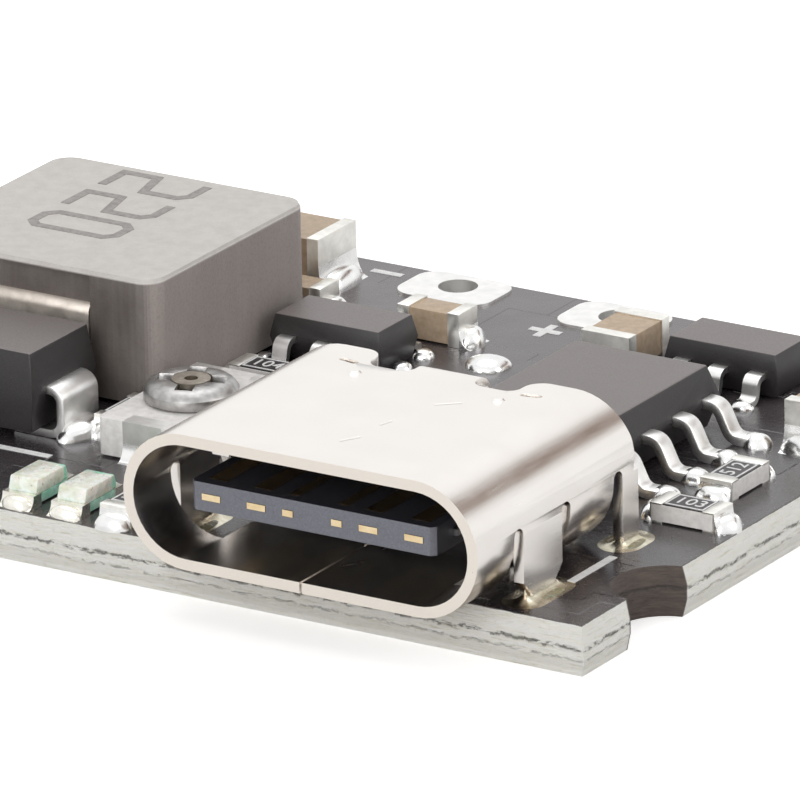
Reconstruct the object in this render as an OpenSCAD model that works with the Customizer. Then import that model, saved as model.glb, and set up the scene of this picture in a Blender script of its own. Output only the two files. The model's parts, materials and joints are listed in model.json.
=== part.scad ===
// Lithium battery charger module: a small charger and boost board with a USB-C power socket.
// The origin is the middle of the board's underside, +Z is up and the socket looks along -Y.

/* [Board] */
// Width of the board, left to right
board_w = 23.6; // [22:0.1:28]
// Depth of the board, front to back
board_d = 17.8; // [17:0.1:22]
// Thickness of the board
board_t = 1.15; // [0.9:0.05:1.8]
// Depth of the scored bevel on each edge of the board
score_in = 0.1; // [0.02:0.01:0.2]
// Height of the broken web left between the two scored bevels
score_web = 0.35; // [0.1:0.05:0.6]
// Radius of the half-round notch in the right edge
notch_r = 1.15; // [0.6:0.05:1.6]
// Distance of the notch's centre outside the right edge
notch_out = 0.15; // [0:0.05:0.5]
// Distance of the notch's centre behind the front edge
notch_back = 3.05; // [2:0.05:4]

/* [Wire holes] */
// Diameter of each plated hole, inside its plating
wire_hole_d = 0.9; // [0.6:0.05:1.2]
// Width of the tinned pad round each hole
wire_pad_w = 2.4; // [2:0.05:2.6]
// Depth of the tinned pad, from the rear edge's bevel forward
wire_pad_l = 1.7; // [1.6:0.05:2.2]
// Distance of the holes in front of the rear edge
wire_hole_in = 0.82; // [0.8:0.02:1]
// Wall of the tinned barrel in each hole
plating_t = 0.16; // [0.16:0.01:0.2]
// Height of the tinned pads above the board
ring_lift = 0.06; // [0.03:0.01:0.12]
// Distance of the outer pair of holes from the board's side edges
wire_outer_in = 1.9; // [1.4:0.1:2.3]
// Distance from the board's middle to the left inner hole
wire_left_x = 1.8; // [1.5:0.1:2.2]
// Distance from the board's middle to the right inner hole
wire_right_x = 2.4; // [1.5:0.1:2.6]
// Radius of the bare tinned pad beside the boost chip
test_pad_r = 0.45; // [0.3:0.05:0.5]

/* [USB socket] */
// Distance of the socket's centre to the right of the board's middle
usb_x = 5.6; // [5:0.1:6]
// How far the socket's mouth stands in front of the board
usb_out = 1.28; // [0.2:0.02:2]
// Width of the socket's opening
mouth_w = 8.34; // [8.3:0.01:8.4]
// Height of the socket's opening
mouth_h = 2.56; // [2.5:0.01:2.62]
// Thickness of the shell's sheet
sheet_t = 0.25; // [0.2:0.01:0.3]
// Length of the shell, front to back
shell_l = 6.5; // [6.4:0.05:7.2]
// Gap between the shell's underside and the board
shell_gap = 0.05; // [0.02:0.01:0.1]
// Gap of the folded seam along the shell's underside
seam_gap = 0.06; // [0.04:0.01:0.1]
// Width of each slit beside a leg
slit_w = 0.36; // [0.25:0.01:0.45]
// Distance from the mouth to the front leg
front_leg_y = 1.83; // [1.6:0.01:2.1]
// Width of the front leg
front_leg_w = 1.55; // [1.3:0.05:1.6]
// Width of the rear leg
rear_leg_w = 0.64; // [0.5:0.02:0.7]
// Width of the leg tips that go down into the board
leg_tip_w = 0.9; // [0.7:0.05:1.1]
// Depth of the leg tips in the board
leg_tip_l = 0.85; // [0.4:0.05:0.85]
// Width of the rear flap that folds down behind the insulator
flap_w = 1.54; // [1.4:0.02:1.8]
// Length of the flap below the shell's top
flap_l = 1.25; // [0.8:0.05:1.4]
// Depth of the two gaps beside the flap
flap_gap_l = 0.85; // [0.6:0.05:1]
// Width of the two gaps beside the flap
flap_gap_w = 1.1; // [0.8:0.05:1.2]
// Width of the tongue
tongue_w = 6.1; // [6:0.05:6.69]
// Thickness of the tongue
tongue_t = 0.66; // [0.6:0.01:0.7]
// Distance of the tongue's tip behind the mouth
tongue_in = 0.5; // [0.3:0.05:0.9]
// Thickness of the plate inside the tongue
mid_plate_t = 0.14; // [0.1:0.01:0.16]
// Thickness of the contact strips
contact_t = 0.08; // [0.06:0.01:0.1]
// Width of the four supply contacts
supply_contact_w = 0.46; // [0.4:0.02:0.6]
// Width of the two signal contacts
signal_contact_w = 0.26; // [0.2:0.02:0.3]

/* [Inductor] */
// Width of the moulded body
coil_w = 6.55; // [6:0.05:6.6]
// Depth of the moulded body
coil_d = 6.35; // [6:0.05:6.4]
// Height of the inductor above the board
coil_h = 3; // [2.6:0.05:3.4]
// Radius of the body's upright corners
coil_r = 0.5; // [0.2:0.05:0.9]
// Width of the strap terminals
strap_w = 3; // [2:0.1:3.4]
// Thickness of the strap terminals
strap_t = 0.16; // [0.1:0.01:0.2]
// Height at which the straps leave the body
strap_h = 2.2; // [1.6:0.05:2.4]
// Depth of the recess that holds each strap
strap_recess = 0.24; // [0.2:0.01:0.4]

/* [Trimmer] */
// Width of the ceramic base
trim_w = 2.3; // [2.2:0.05:2.4]
// Depth of the ceramic base
trim_d = 4; // [3.8:0.05:4.1]
// Height of the ceramic base
trim_h = 0.9; // [0.7:0.05:1.1]
// Diameter of the turning rotor
rotor_d = 2.1; // [2:0.05:2.2]
// Thickness of the rotor
rotor_t = 0.42; // [0.36:0.01:0.5]
// Running gap round and under the rotor
run_gap = 0.04; // [0.03:0.01:0.06]
// Width of the cross slot
cross_w = 0.4; // [0.25:0.01:0.45]
// Diameter of the eyelet's shank
eyelet_d = 0.5; // [0.4:0.02:0.6]
// Diameter of the eyelet's head
eyelet_head_d = 0.86; // [0.7:0.02:0.9]

/* [Packages] */
// Width of the charger chip's body
soic_w = 3.8; // [3.6:0.05:3.9]
// Length of the charger chip's body
soic_l = 4.9; // [4.7:0.05:4.9]
// Height of the charger chip's top above the board
soic_h = 1.52; // [1.35:0.01:1.75]
// Span across the charger chip's leads
soic_span = 6; // [5.8:0.05:6.1]
// Pitch of the charger chip's leads
soic_pitch = 1.27; // [1.2:0.01:1.3]
// Length of each small chip's body
sot_l = 2.9; // [2.8:0.05:3]
// Width of each small chip's body
sot_w = 1.6; // [1.5:0.05:1.7]
// Height of each small chip's top above the board
sot_h = 1.05; // [0.9:0.05:1.2]
// Span across each small chip's leads
sot_span = 2.8; // [2.7:0.05:3]
// Pitch of each small chip's leads
sot_pitch = 0.95; // [0.9:0.01:1]
// Length of the diode's body
diode_l = 4.3; // [4:0.05:4.4]
// Width of the diode's body
diode_w = 2.55; // [2.3:0.05:2.6]
// Height of the diode's top above the board
diode_h = 2.05; // [1.8:0.05:2.3]
// Width of the diode's leads
diode_lead_w = 1.4; // [1.2:0.05:1.6]

/* [Small parts] */
// Length of a chip resistor
res_l = 1.6; // [1.5:0.05:1.65]
// Width of a chip resistor
res_w = 0.8; // [0.7:0.05:0.85]
// Height of a chip resistor
res_h = 0.45; // [0.4:0.05:0.6]
// Length of the plated ends of the small parts
end_l = 0.3; // [0.2:0.01:0.4]
// Thickness of the plating on the ends
end_t = 0.04; // [0.03:0.01:0.06]
// Height of each lamp
led_h = 0.58; // [0.5:0.02:0.8]
// Height of a lamp's base
led_base_h = 0.28; // [0.2:0.02:0.35]
// Length of a lamp's lens
led_lens_l = 1.3; // [1:0.05:1.4]

/* [Hidden] */
$fn = 64;
eps = 0.01;

// Board edges and rows
front_y = -board_d / 2;
rear_y = board_d / 2;
right_x = board_w / 2;
wire_y = rear_y - wire_hole_in;
wire_outer_x = right_x - wire_outer_in;
wire_xs = [-wire_outer_x, -wire_left_x, wire_right_x, wire_outer_x];
barrel_r = wire_hole_d / 2 + plating_t;
wire_pad_r = 0.5;
wire_pad_y = rear_y - score_in - 0.02 - wire_pad_l / 2;

// Socket: local frame with the mouth at y = 0 and the sheet's underside at z = 0
shell_w = mouth_w + 2 * sheet_t;
shell_h = mouth_h + 2 * sheet_t;
shell_mid = shell_h / 2;
usb_y = front_y - usb_out;
usb_z = board_t + shell_gap;
leg_x = shell_w / 2 - sheet_t;
rear_leg_y = shell_l - rear_leg_w;
leg_cut_in = mouth_w / 2 - mouth_h / 2;
slot_w = sheet_t + 0.4;
slot_l = leg_tip_w + 0.3;
rear_tip_w = rear_leg_w - 0.04;
rear_slot_l = rear_tip_w + 0.3;
fit_gap = 0.02;
flap_y = shell_l - sheet_t;
block_front = shell_l - 1.9;
block_rear = flap_y - 0.05;
root_front = shell_l - 2.7;
root_t = 1.1;
// Each contact: place across the tongue and width
outer_contact = tongue_w / 2 - 0.52;
inner_contact = outer_contact - 1.13;
signal_contact = outer_contact - 1.92;
contacts = [[-outer_contact, supply_contact_w], [-inner_contact, supply_contact_w],
            [-signal_contact, signal_contact_w], [signal_contact, signal_contact_w],
            [inner_contact, supply_contact_w], [outer_contact, supply_contact_w]];
tail_l = 1.15;
strip_z = tongue_t / 2 - contact_t / 2;
tail_z = shell_mid - strip_z + shell_gap;

// Places on the board: [across, from the middle to the back, turn]
coil_at = [-6.55, 1.1, 0];
coil_side = coil_at[0] + coil_w / 2 - 0.13;
coil_front = coil_at[1] - coil_d / 2;
diode_at = [-6.6, -3.9, 0];
trim_at = [-1.74, -3, 180];
soic_at = [right_x - 5.6, 0.55, 0];
boost_at = [coil_side + 1.855, 2.9, 90];
protect_at = [right_x - 4.95, 5.85, 90];
leds_at = [[-2.65, front_y + 1.2, 90], [-1.4, front_y + 1.2, 90]];
resistors_at = [[right_x - 1.3, -2.3, 0], [right_x - 1.56, -0.05, 90], [-0.15, front_y + 1.2, 90],
                [coil_side + 0.065, coil_front - 0.975, 90], [coil_side + 1.25, 0.72, 0]];
// Capacitors: [across, to the back, turn, length, width, height]
caps_at = [[right_x - 7.9, 5.9, 90, 1.7, 1.25, 0.85], [right_x - 1.25, 3.6, 90, 2, 1.25, 1.15],
           [-5.85, 7, 0, 3.1, 1.6, 1.3], [-4.2, 5.25, 0, 1.6, 0.8, 0.7],
           [-0.45, 5.05, 0, 1.6, 0.8, 0.8]];
test_pad_at = [1.5, 4];

// Leads
soic_lead_t = 0.22;
soic_lead_w = 0.45;
soic_stand = 0.1;
sot_lead_t = 0.14;
sot_lead_w = 0.38;
sot_stand = 0.06;
lead_root = 0.25;
diode_lead_t = 0.2;
diode_lead_z = 1.1;

// Trimmer heights above the board
rotor_z = trim_h + run_gap;
rotor_top = rotor_z + rotor_t;
head_t = 0.12;
trim_end_t = 0.1;
trim_end_l = 0.45;
trim_end_w = 0.7;
trim_wiper_w = 1;

// Points of a round bend about a centre, from one angle to another
function bend(c, r, a, b, n = 6) = [for (i = [0:n]) let (t = a + (b - a) * i / n) c + r * [cos(t), sin(t)]];

// Stands its children on the board at a place [x, y, turn]
module on_board(place) {
    translate([place[0], place[1], board_t]) rotate([0, 0, place[2]]) children();
}

// Lays a flat outline, drawn as across and up, along Y over a centred length
module along_y(l) {
    rotate([90, 0, 0]) linear_extrude(l, center = true) children();
}

// Moves its children into the socket's own frame
module in_socket() {
    translate([usb_x, usb_y, usb_z]) children();
}

module stadium(w, h) {
    square([w - h, h], center = true);
    for (s = [-1, 1]) translate([s * (w - h) / 2, 0]) circle(h / 2);
}

// Slot with round ends, along Y, through a height
module slot(l, w, h) {
    linear_extrude(h) rotate([0, 0, 90]) stadium(l, w);
}

// Concave solder profile that falls from a height to nothing over a length
module fillet_profile(l, h) {
    polygon(concat([[0, 0]], [for (t = [90:-15:0]) [l - l * cos(t), h - h * sin(t)]]));
}

// Solder fillet against a face at x = 0, centred across Y
module fillet(w, h, l) {
    along_y(w) fillet_profile(l, h);
}

// Low solder mound with round ends, along Y
module mound(l, r, h) {
    for (s = [-1, 1]) translate([0, s * l / 2, 0]) rotate_extrude() fillet_profile(r, h);
    for (s = [0, 180]) rotate([0, 0, s]) fillet(l, h, r);
}

// Gull-wing lead: leaves a body at x = 0 and a mid height, ends flat at z = 0
module gull_lead(w, t, h, span, slope = 78, root = lead_root) {
    ri = t * 0.9;
    ro = ri + t;
    rm = ri + t / 2;
    drop = h - t / 2 - 2 * rm * (1 - cos(slope));
    run = drop / sin(slope);
    reach = 2 * rm * sin(slope) + run * cos(slope);
    neck = min(0.1, (span - reach) / 2);
    c1 = [neck, h - rm];
    c2 = [neck + reach, t / 2 + rm];
    along_y(w) polygon(concat(
        [[-root, h + t / 2]], bend(c1, ro, 90, 90 - slope), bend(c2, ri, 270 - slope, 270), [[span, t]],
        [[span, 0]], bend(c2, ro, 270, 270 - slope), bend(c1, ri, 90 - slope, 90), [[-root, h - t / 2]]));
}

// Room for the root of a gull-wing lead in a body's side
module lead_pocket(w, t, h) {
    translate([-lead_root, -w / 2, h - t / 2]) cube([lead_root + 0.5, w, t]);
}

// Places a row of leads on both long sides, the long side being along Y
module both_rows(body_w, pitch, count) {
    for (side = [0, 180], i = [0:count - 1]) rotate([0, 0, side])
        translate([body_w / 2, (i - (count - 1) / 2) * pitch, 0]) children();
}

// Moulded body with a parting line and drafted sides, from a stand-off to its top
module drafted_outline(l, stand, part, top, draft) {
    polygon([[-l / 2 + draft, stand], [l / 2 - draft, stand], [l / 2, part],
             [l / 2 - draft, top], [-l / 2 + draft, top], [-l / 2, part]]);
}

module moulded_body(w, l, stand, part, top, draft) {
    intersection() {
        along_y(l) drafted_outline(w, stand, part, top, draft);
        rotate([0, 0, 90]) along_y(w) drafted_outline(l, stand, part, top, draft);
    }
}

// Plated end cap that wraps a block on three faces, or on all five where closed
module plated_end(l, w, h, closed) {
    inner_w = closed ? w - 2 * end_t : w + 1;
    difference() {
        translate([l / 2 - end_l, -w / 2, 0]) cube([end_l, w, h]);
        translate([l / 2 - end_l - 1, -inner_w / 2, end_t]) cube([end_l + 1 - end_t, inner_w, h - 2 * end_t]);
    }
}

module plated_ends(l, w, h, closed = false) {
    for (s = [0, 180]) rotate([0, 0, s]) plated_end(l, w, h, closed);
}

module ceramic_block(l, w, h, closed = false) {
    inner_w = closed ? w - 2 * end_t : w;
    translate([-l / 2 + end_t, -inner_w / 2, end_t]) cube([l - 2 * end_t, inner_w, h - 2 * end_t]);
}

module end_fillets(l, w, h, out) {
    for (s = [0, 180]) rotate([0, 0, s]) translate([l / 2, 0, 0]) fillet(w, h, out);
}

// Outline of one board edge pair: scored bevels top and bottom with a broken web between
module board_outline(l) {
    z1 = (board_t - score_web) / 2;
    z2 = (board_t + score_web) / 2;
    polygon([[-l / 2 + score_in, 0], [l / 2 - score_in, 0], [l / 2, z1], [l / 2, z2], [l / 2 - score_in, board_t],
             [-l / 2 + score_in, board_t], [-l / 2, z2], [-l / 2, z1]]);
}

module board() {
    color("#2a2428") difference() {
        intersection() {
            along_y(board_d) board_outline(board_w);
            rotate([0, 0, 90]) along_y(board_w) board_outline(board_d);
        }
        translate([right_x + notch_out, front_y + notch_back, -1]) cylinder(r = notch_r, h = board_t + 2);
        for (x = wire_xs) translate([x, wire_y, -1]) cylinder(r = barrel_r, h = board_t + 2);
        for (x = wire_xs) translate([x, wire_pad_y, -1]) wire_pad(1 + ring_lift);
        leg_slots();
    }
}

// Slots for the socket's legs, right through the board
module leg_slots() {
    for (s = [-1, 1]) {
        translate([usb_x + s * (leg_x + sheet_t / 2), usb_y + front_leg_y + front_leg_w / 2, -1])
            slot(slot_l, slot_w, board_t + 2);
        translate([usb_x + s * (leg_x + sheet_t / 2), usb_y + rear_leg_y + rear_leg_w / 2, -1])
            slot(rear_slot_l, slot_w, board_t + 2);
    }
}

module wire_pad(h) {
    linear_extrude(h) rounded(wire_pad_w, wire_pad_l, wire_pad_r);
}

// Barrel through the board with a pad on each face, one for each wire
module wire_hole_plating() {
    color("#c9ccd0") for (x = wire_xs) translate([x, 0, 0]) difference() {
        union() {
            translate([0, wire_pad_y, 0]) wire_pad(ring_lift);
            translate([0, wire_y, 0]) cylinder(r = barrel_r, h = board_t + ring_lift);
            translate([0, wire_pad_y, board_t]) wire_pad(ring_lift);
        }
        translate([0, wire_y, -1]) cylinder(d = wire_hole_d, h = board_t + 2);
    }
}

module test_pad() {
    color("#d8dade") translate([test_pad_at[0], test_pad_at[1], board_t]) {
        cylinder(r = test_pad_r, h = ring_lift);
        translate([0, 0, ring_lift]) intersection() {
            cylinder(r = test_pad_r, h = 1);
            translate([0, 0, -1.2 * test_pad_r]) sphere(r = 1.562 * test_pad_r);
        }
    }
}

// Cuts below and beside one pair of legs, on the right of the shell
module leg_cuts() {
    low = -1;
    translate([leg_cut_in, front_leg_y - slit_w, low])
        cube([shell_w, front_leg_w + 2 * slit_w, shell_mid - low]);
    translate([leg_cut_in, rear_leg_y - slit_w, low]) cube([shell_w, shell_l, shell_mid - low]);
    for (y = [front_leg_y - slit_w / 2, front_leg_y + front_leg_w + slit_w / 2, rear_leg_y - slit_w / 2])
        translate([leg_cut_in, y, shell_mid]) rotate([0, 90, 0]) cylinder(d = slit_w, h = shell_w);
}

// Upright leg with a narrower tip, its outline drawn along Y and up, at the shell's right wall
module leg(y, w, tip_w) {
    shoulder = 0.1;
    taper = (w - tip_w) / 2;
    tip = -shell_gap - leg_tip_l;
    translate([leg_x, y + w / 2, 0]) rotate([90, 0, 90]) linear_extrude(sheet_t)
        polygon([[-w / 2, shell_mid], [-w / 2, shoulder + taper], [-tip_w / 2, shoulder],
                 [-tip_w / 2, tip + 0.15], [-tip_w / 2 + 0.15, tip], [tip_w / 2 - 0.15, tip],
                 [tip_w / 2, tip + 0.15], [tip_w / 2, shoulder], [w / 2, shoulder + taper], [w / 2, shell_mid]]);
}

module legs() {
    leg(front_leg_y, front_leg_w, leg_tip_w);
    leg(rear_leg_y, rear_leg_w, rear_tip_w);
}

// Outline, seen from above, of what is cut from the rear of the shell's top on the right
module rear_edge_cut() {
    lobe_r = 0.45;
    foot_r = 0.3;
    corner_r = 0.2;
    inner = flap_w / 2;
    bottom = shell_l - flap_gap_l;
    translate([inner, bottom + foot_r]) square([flap_gap_w, shell_l]);
    translate([inner + foot_r, bottom]) square([flap_gap_w - 2 * foot_r, shell_l]);
    for (x = [inner + foot_r, inner + flap_gap_w - foot_r]) translate([x, bottom + foot_r]) circle(foot_r);
    translate([inner + flap_gap_w, shell_l - lobe_r]) difference() {
        translate([-eps, 0]) square([lobe_r + eps, lobe_r + 1]);
        translate([lobe_r, 0]) circle(lobe_r);
    }
    translate([leg_x + sheet_t - corner_r, shell_l - corner_r]) difference() {
        square([2, 1.5]);
        circle(corner_r);
    }
}

// Folded sheet shell: mouth, seam, slits, legs, rear flap and punched marks
module usb_shell() {
    color("#e9e2d8") in_socket() {
        difference() {
            translate([0, shell_l, shell_mid]) rotate([90, 0, 0]) linear_extrude(shell_l) difference() {
                stadium(shell_w, shell_h);
                stadium(mouth_w, mouth_h);
            }
            for (s = [0, 1]) mirror([s, 0, 0]) {
                leg_cuts();
                translate([0, 0, shell_mid]) linear_extrude(shell_h) rear_edge_cut();
                punched_slot();
            }
            seam_cut();
            translate([-flap_w / 2 - eps, flap_y - 0.2, shell_mid])
                cube([flap_w + 2 * eps, shell_l, shell_h]);
        }
        for (s = [0, 1]) mirror([s, 0, 0]) {
            legs();
            dimple();
        }
        rear_flap();
        spring_finger();
    }
}

// Folded seam with a keyed step in the middle, along the underside
module seam_cut() {
    key_l = 1.2;
    key_w = 0.7;
    for (y = [[-1, shell_l * 0.42], [shell_l * 0.42 + key_l, shell_l + 1]])
        translate([-seam_gap / 2, y[0], -1]) cube([seam_gap, y[1] - y[0], 1 + sheet_t + 0.1]);
    for (y = [shell_l * 0.42, shell_l * 0.42 + key_l])
        translate([-seam_gap / 2, y - seam_gap / 2, -1]) cube([key_w + seam_gap, seam_gap, 1 + sheet_t + 0.1]);
    translate([key_w - seam_gap / 2, shell_l * 0.42, -1]) cube([seam_gap, key_l, 1 + sheet_t + 0.1]);
}

// Flap that turns down behind the insulator, with its outside bend
module rear_flap() {
    bend_r = sheet_t + 0.2;
    top = shell_h;
    translate([0, shell_l - bend_r, top - bend_r]) rotate([90, 0, 90])
        linear_extrude(flap_w, center = true) {
        intersection() {
            difference() {
                circle(bend_r);
                circle(bend_r - sheet_t);
            }
            square(bend_r);
        }
        translate([bend_r - sheet_t, -(flap_l - bend_r)]) square([sheet_t, flap_l - bend_r]);
    }
}

// Small punched slot and round punched mark near the rear of the shell's top
module punched_slot() {
    translate([flap_w / 2 + flap_gap_w + 0.42, shell_l - 0.84, shell_h - 1]) rotate([0, 0, 100])
        slot(0.5, 0.17, 2);
}

module dimple() {
    translate([1.8, shell_l - 1.4, shell_h - 0.02]) cylinder(r1 = 0.2, r2 = 0.12, h = 0.07);
}

// Small grounding finger that hangs inside the top of the mouth
module spring_finger() {
    translate([-2.4, 0.4, shell_h - sheet_t - 0.22]) cube([0.42, 0.12, 0.22 + sheet_t / 2]);
}

// One contact's outline, drawn along Y and up from the middle of the tongue, its rear end longer as a cutter
module contact_outline(longer = 0) {
    nub = contact_t * 0.9;
    translate([tongue_in, -nub]) square([0.35, 2 * nub]);
    translate([tongue_in + 0.3, -tongue_t / 2]) square([0.12, tongue_t]);
    translate([tongue_in + 0.3, tongue_t / 2 - contact_t]) square([root_front - tongue_in - 0.3, contact_t]);
    translate([tongue_in + 0.3, -tongue_t / 2]) square([block_rear - tongue_in - 0.3 + longer, contact_t]);
}

module contact_strip(c, longer = 0) {
    translate([c[0], 0, shell_mid]) rotate([90, 0, 90]) linear_extrude(c[1], center = true)
        contact_outline(longer);
}

// Solder tail behind the insulator, down to the board
module contact_tail(c) {
    translate([c[0], block_rear, -shell_gap]) rotate([0, 0, 90])
        gull_lead(c[1], contact_t, tail_z, tail_l, 80, 0);
}

module contact_set(list) {
    color("#d9a441") in_socket() for (c = list) {
        contact_strip(c);
        contact_tail(c);
    }
}

module usb_supply_contacts() {
    contact_set([for (i = [0, 1, 4, 5]) contacts[i]]);
}

module usb_signal_contacts() {
    contact_set([for (i = [2, 3]) contacts[i]]);
}

// Plate between the two contact rows, its ears bare at the tongue's sides
module mid_plate_shape() {
    translate([-tongue_w / 2 + 0.25, tongue_in + 0.6, shell_mid - mid_plate_t / 2])
        cube([tongue_w - 0.5, block_rear - tongue_in - 1.2, mid_plate_t]);
    translate([-tongue_w / 2 - 0.1, tongue_in + 0.75, shell_mid - mid_plate_t / 2])
        cube([tongue_w + 0.2, 1.3, mid_plate_t]);
}

module usb_mid_plate() {
    color("#b8bcc2") in_socket() mid_plate_shape();
}

// Moulded block that fills the shell's rear, with the tongue and its thicker root
module usb_insulator() {
    nose = 0.12;
    color("#33343c") in_socket() difference() {
        union() {
            intersection() {
                translate([0, block_rear, shell_mid]) rotate([90, 0, 0]) linear_extrude(block_rear - block_front)
                    stadium(mouth_w - 2 * fit_gap, mouth_h - 2 * fit_gap);
                translate([-leg_cut_in - 1.1, 0, 0]) cube([2 * (leg_cut_in + 1.1), shell_l, shell_h]);
            }
            translate([-tongue_w / 2, root_front, shell_mid - root_t / 2])
                cube([tongue_w, block_front - root_front + eps, root_t]);
            translate([0, 0, shell_mid - tongue_t / 2]) linear_extrude(tongue_t)
                polygon([[-tongue_w / 2 + nose, tongue_in], [tongue_w / 2 - nose, tongue_in],
                         [tongue_w / 2, tongue_in + nose], [tongue_w / 2, root_front + eps],
                         [-tongue_w / 2, root_front + eps], [-tongue_w / 2, tongue_in + nose]]);
        }
        for (c = contacts) contact_strip(c, eps);
        mid_plate_shape();
    }
}

// Solder in the slots and low mounds round the legs, clear of the legs themselves
module leg_solder(y, w, tip_w, l) {
    depth = leg_tip_l + 0.1;
    difference() {
        union() {
            translate([leg_x + sheet_t / 2, y + w / 2, -shell_gap - depth]) slot(l, slot_w, depth);
            translate([leg_x + sheet_t / 2, y + w / 2, -shell_gap]) mound(w * 0.7, 0.5, 0.3);
        }
        leg(y, w, tip_w);
        translate([-shell_w / 2, -1, -shell_gap + 0.01]) cube([shell_w - 2 * sheet_t - 0.2, shell_l + 2, 1]);
    }
}

module usb_leg_solder() {
    color("#cfc9a8") in_socket() for (s = [0, 1]) mirror([s, 0, 0]) {
        leg_solder(front_leg_y, front_leg_w, leg_tip_w, slot_l);
        leg_solder(rear_leg_y, rear_leg_w, rear_tip_w, rear_slot_l);
    }
}

module usb_tail_solder() {
    color("#c8ccd2") in_socket() for (c = contacts)
        translate([c[0], block_rear + tail_l, -shell_gap]) rotate([0, 0, 90]) fillet(c[1], contact_t, 0.15);
}

// Rounded block of the inductor without its recesses
module coil_block() {
    bottom = 0.1;
    lid = 0.08;
    translate([0, 0, bottom]) linear_extrude(coil_h - bottom - lid) rounded(coil_w, coil_d, coil_r);
    translate([0, 0, coil_h - lid]) linear_extrude(lid) rounded(coil_w - 0.06, coil_d - 0.06, coil_r);
}

module rounded(w, l, r) {
    square([w - 2 * r, l], center = true);
    square([w, l - 2 * r], center = true);
    for (x = [-1, 1], y = [-1, 1]) translate([x * (w / 2 - r), y * (l / 2 - r)]) circle(r);
}

// Outline of a strap, drawn outward and up from the bottom of its recess: out, down and under
module strap_outline() {
    r = strap_t + 0.12;
    under = 1.1;
    top = strap_h;
    out = strap_t;
    polygon(concat(
        [[-0.5, top]], bend([out - r, top - r], r, 90, 0), bend([out - 0.15, 0.15], 0.15, 0, -90),
        [[-under, 0], [-under, strap_t]], [[out - strap_t, strap_t]],
        bend([out - r, top - r], r - strap_t, 0, 90), [[-0.5, top - strap_t]]));
}

module strap() {
    translate([0, -coil_d / 2 + strap_recess, 0]) rotate([0, 0, -90])
        along_y(strap_w) strap_outline();
}

module inductor_body() {
    color("#8f8781") on_board(coil_at) difference() {
        coil_block();
        for (s = [0, 180]) rotate([0, 0, s]) {
            translate([-strap_w / 2 - 0.1, -coil_d / 2 - 1, 0])
                cube([strap_w + 0.2, 1 + strap_recess, coil_h - 0.14]);
            translate([-strap_w / 2 - 0.1, -coil_d / 2 - 1, 0]) cube([strap_w + 0.2, 2.4, strap_t]);
            strap();
        }
    }
}

module inductor_front_strap() {
    color("#b09a82") on_board(coil_at) strap();
}

module inductor_rear_strap() {
    color("#b09a82") on_board(coil_at) rotate([0, 0, 180]) strap();
}

module inductor_solder() {
    color("#c8ccd2") on_board(coil_at) for (s = [0, 180]) rotate([0, 0, s])
        translate([0, -coil_d / 2 + strap_recess - strap_t, 0]) rotate([0, 0, -90]) difference() {
        fillet(strap_w, 0.35, 0.28);
        translate([-0.15, -strap_w, -0.001]) rotate([-90, 0, 0]) cylinder(r = 0.15, h = 2 * strap_w);
    }
}

// Outline of the diode's lead: out of the end, down and back under the body
module diode_lead_outline() {
    ro = 0.38;
    ri = ro - diode_lead_t;
    out = 0.42;
    top = diode_lead_z + diode_lead_t / 2;
    under = 0.9;
    polygon(concat(
        [[-lead_root, top]], bend([out - ro, top - ro], ro, 90, 0), bend([out - ro, ro], ro, 0, -90),
        [[-under, 0], [-under, diode_lead_t]], bend([out - ro, ro], ri, -90, 0),
        bend([out - ro, top - ro], ri, 0, 90), [[-lead_root, top - diode_lead_t]]));
}

module diode_lead() {
    translate([diode_l / 2, 0, 0]) along_y(diode_lead_w) diode_lead_outline();
}

module diode_body() {
    color("#2b2b2e") on_board(diode_at) difference() {
        moulded_body(diode_l, diode_w, diode_lead_t + 0.02, diode_lead_z, diode_h, 0.13);
        for (s = [0, 180]) rotate([0, 0, s]) translate([diode_l / 2, 0, 0])
            lead_pocket(diode_lead_w, diode_lead_t, diode_lead_z);
    }
}

module diode_leads() {
    color("#c4c7cb") on_board(diode_at) for (s = [0, 180]) rotate([0, 0, s]) diode_lead();
}

module diode_solder() {
    color("#c8ccd2") on_board(diode_at) for (s = [0, 180]) rotate([0, 0, s]) difference() {
        translate([diode_l / 2 + 0.42 - 0.2, 0, 0]) fillet(diode_lead_w, 0.5, 0.44);
        diode_lead();
        translate([diode_l / 2 + 0.04, 0, 0.38]) rotate([90, 0, 0]) cylinder(r = 0.379, h = 3, center = true);
    }
}

// Chip with leads on two sides: one module each for its body, leads and solder
module chip_body(w, l, h, stand, lead_w, lead_t, pitch, count, draft) {
    part = stand + (h - stand) * 0.5;
    difference() {
        moulded_body(w, l, stand, part, h, draft);
        both_rows(w, pitch, count) lead_pocket(lead_w, lead_t, part);
    }
}

module chip_leads(w, h, span, stand, lead_w, lead_t, pitch, count, slope) {
    both_rows(w, pitch, count)
        gull_lead(lead_w, lead_t, stand + (h - stand) * 0.5, (span - w) / 2, slope);
}

module chip_solder(w, span, lead_w, lead_t, pitch, count, out) {
    both_rows(w, pitch, count) translate([(span - w) / 2, 0, 0]) fillet(lead_w, lead_t, out);
}

module charger_chip_body() {
    color("#3b3737") on_board(soic_at)
        chip_body(soic_w, soic_l, soic_h, soic_stand, soic_lead_w, soic_lead_t, soic_pitch, 4, 0.22);
}

module charger_chip_leads() {
    color("#c4c7cb") on_board(soic_at)
        chip_leads(soic_w, soic_h, soic_span, soic_stand, soic_lead_w, soic_lead_t, soic_pitch, 4, 64);
}

module charger_chip_solder() {
    color("#d5d8dc") on_board(soic_at)
        chip_solder(soic_w, soic_span, soic_lead_w, soic_lead_t, soic_pitch, 4, 0.22);
}

module sot_body() {
    chip_body(sot_w, sot_l, sot_h, sot_stand, sot_lead_w, sot_lead_t, sot_pitch, 3, 0.1);
}

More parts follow.
